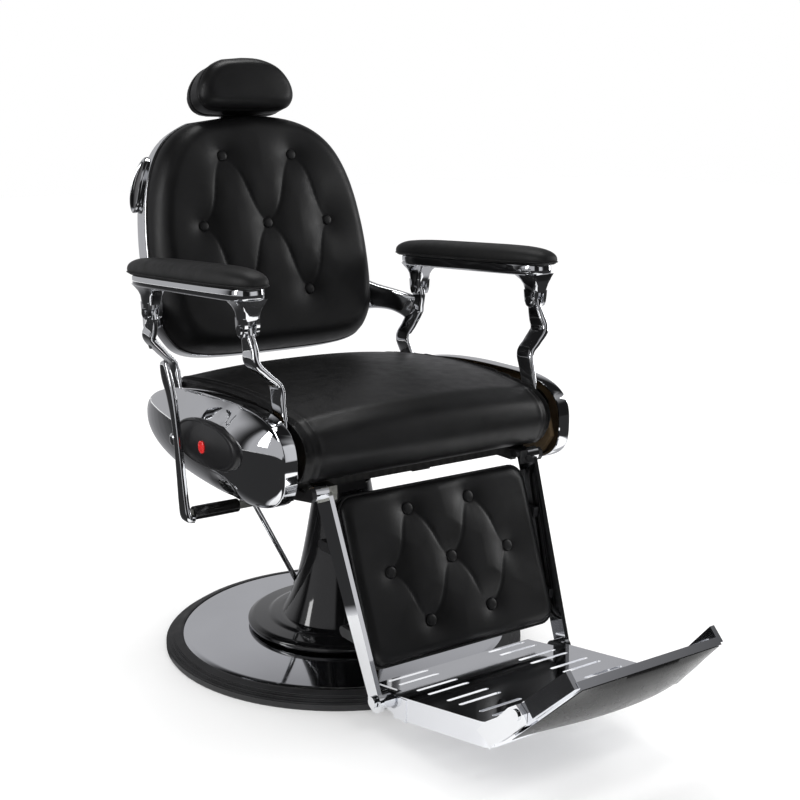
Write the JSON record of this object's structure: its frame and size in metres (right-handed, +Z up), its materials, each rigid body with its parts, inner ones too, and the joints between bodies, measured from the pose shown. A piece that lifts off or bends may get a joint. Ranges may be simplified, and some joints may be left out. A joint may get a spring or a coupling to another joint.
{
  "type": "hydraulic barber chair",
  "caption": "Hydraulic barber chair with reclining tufted back, linked armrests and legrest, sliding headrest, folding footplate and a round pump base.",
  "frame": {"origin": "centre of the round base on the floor, on the swivel axis", "axes": "+Z up, -Y the way the sitter faces, +X the sitter's left"},
  "size_m": [0.723, 1.2976, 1.1292],
  "materials": {
    "chrome": "mirror polished chrome plate",
    "rubber_black": "matt ribbed rubber",
    "gloss_black": "gloss black enamel",
    "cast_iron": "primed casting",
    "machined_steel": "zinc plated",
    "frame_black": "satin black powder coat",
    "plywood": "raw plywood",
    "black_leather": "satin synthetic leather",
    "pad_black": "satin moulded plastic",
    "sleeve_black": "gloss black sleeve",
    "badge_red": "gloss red"
  },
  "bodies": {
    "base": {"base_ring": "rubber_black", "base_weight": "cast_iron", "base_cover": "chrome", "pump_flange": "gloss_black", "pump_cone": "gloss_black", "pump_cylinder": "machined_steel", "cylinder_gland": "rubber_black", "pump_lever_bracket": "machined_steel", "base_bolts": "machined_steel"},
    "pump_lever": {"pump_lever_rod": "chrome", "pump_lever_ball": "chrome"},
    "lift": {"piston_rod": "chrome", "piston_head": "machined_steel", "thrust_bearing": "machined_steel"},
    "seat": {"swivel_housing": "machined_steel", "seat_frame": "frame_black", "seat_board": "plywood", "seat_cushion": "black_leather", "side_badges": "badge_red", "side_plate_left": "frame_black", "side_plate_right": "frame_black", "side_panel_left": "chrome", "side_panel_right": "chrome", "side_pad_left": "pad_black", "side_pad_right": "pad_black"},
    "backrest": {"back_cushion": "black_leather", "back_buttons": "black_leather", "back_board": "plywood", "back_shell": "chrome", "headrest_guide": "frame_black", "handle_ends": "chrome", "handle_bar": "chrome", "rear_support_left": "chrome", "rear_support_right": "chrome", "back_bracket_left": "chrome", "back_bracket_right": "chrome"},
    "headrest": {"headrest_bar": "chrome", "headrest_cushion": "black_leather"},
    "legrest": {"legrest_arms": "chrome", "legrest_crossbars": "frame_black", "legrest_board": "plywood", "legrest_cushion": "black_leather", "legrest_buttons": "black_leather"},
    "footrest": {"footplate": "chrome", "footplate_pins": "chrome", "flap_brackets": "chrome", "flap_bolts": "chrome"},
    "flap": {"flap_plate": "chrome", "flap_pad": "black_leather"},
    "recline_lever": {"lever_shaft": "machined_steel", "lever_sleeve": "sleeve_black", "lever_arm": "chrome"},
    "front_link_left": {"front_support_left": "chrome"},
    "armrest_left": {"arm_plate_left": "chrome", "arm_pad_left": "black_leather", "arm_bolts_left": "chrome"},
    "front_link_right": {"front_support_right": "chrome"},
    "armrest_right": {"arm_plate_right": "chrome", "arm_pad_right": "black_leather", "arm_bolts_right": "chrome"}
  },
  "joints": [
    {"name": "lift_slide", "type": "slide", "parent": "base", "child": "lift", "axis": [0, 0, 1], "range_m": [0, 0.16]},
    {"name": "seat_swivel", "type": "hinge", "parent": "lift", "child": "seat", "pos_m": [0, 0, 0.34], "axis": [0, 0, 1], "continuous": true},
    {"name": "recline_hinge", "type": "hinge", "parent": "seat", "child": "backrest", "pos_m": [0, 0.1277, 0.4377], "axis": [-1, 0, 0], "range_deg": [0, 32]},
    {"name": "legrest_hinge", "type": "hinge", "parent": "seat", "child": "legrest", "pos_m": [0, -0.288, 0.4], "axis": [-1, 0, 0], "range_deg": [0, 60]},
    {"name": "footrest_fold", "type": "hinge", "parent": "legrest", "child": "footrest", "pos_m": [0, -0.42, 0.072], "axis": [-1, 0, 0], "range_deg": [0, 60]},
    {"name": "flap_flip", "type": "hinge", "parent": "footrest", "child": "flap", "pos_m": [0, -0.748, 0.172], "axis": [-1, 0, 0], "range_deg": [0, 145]},
    {"name": "headrest_slide", "type": "slide", "parent": "backrest", "child": "headrest", "axis": [0, 0.2521, 0.9677], "range_m": [0, 0.09]},
    {"name": "recline_lever_pull", "type": "hinge", "parent": "seat", "child": "recline_lever", "pos_m": [0, -0.05, 0.325], "axis": [-1, 0, 0], "range_deg": [0, 15], "stiffness_Nm_per_rad": 12, "springref_deg": -6.88},
    {"name": "pump_lever_stroke", "type": "hinge", "parent": "base", "child": "pump_lever", "pos_m": [-0.066, 0.06, 0.096], "axis": [0, -1, 0], "range_deg": [0, 20], "stiffness_Nm_per_rad": 12, "springref_deg": -14.32},
    {"name": "front_link_left_hinge", "type": "hinge", "parent": "seat", "child": "front_link_left", "pos_m": [0, -0.2495, 0.4553], "axis": [-1, 0, 0], "range_deg": [0, 32]},
    {"name": "armrest_left_hinge", "type": "hinge", "parent": "backrest", "child": "armrest_left", "pos_m": [0, 0.1757, 0.652], "axis": [-1, 0, 0], "range_deg": [-32, 0]},
    {"name": "front_link_right_hinge", "type": "hinge", "parent": "seat", "child": "front_link_right", "pos_m": [0, -0.2495, 0.4553], "axis": [-1, 0, 0], "range_deg": [0, 32]},
    {"name": "armrest_right_hinge", "type": "hinge", "parent": "backrest", "child": "armrest_right", "pos_m": [0, 0.1757, 0.652], "axis": [-1, 0, 0], "range_deg": [-32, 0]}
  ],
  "couplings": [
    {"joint": "legrest_hinge", "follows": "recline_hinge", "ratio": 1.875},
    {"joint": "front_link_left_hinge", "follows": "recline_hinge", "ratio": 1},
    {"joint": "armrest_left_hinge", "follows": "recline_hinge", "ratio": -1},
    {"joint": "front_link_right_hinge", "follows": "recline_hinge", "ratio": 1},
    {"joint": "armrest_right_hinge", "follows": "recline_hinge", "ratio": -1}
  ]
}
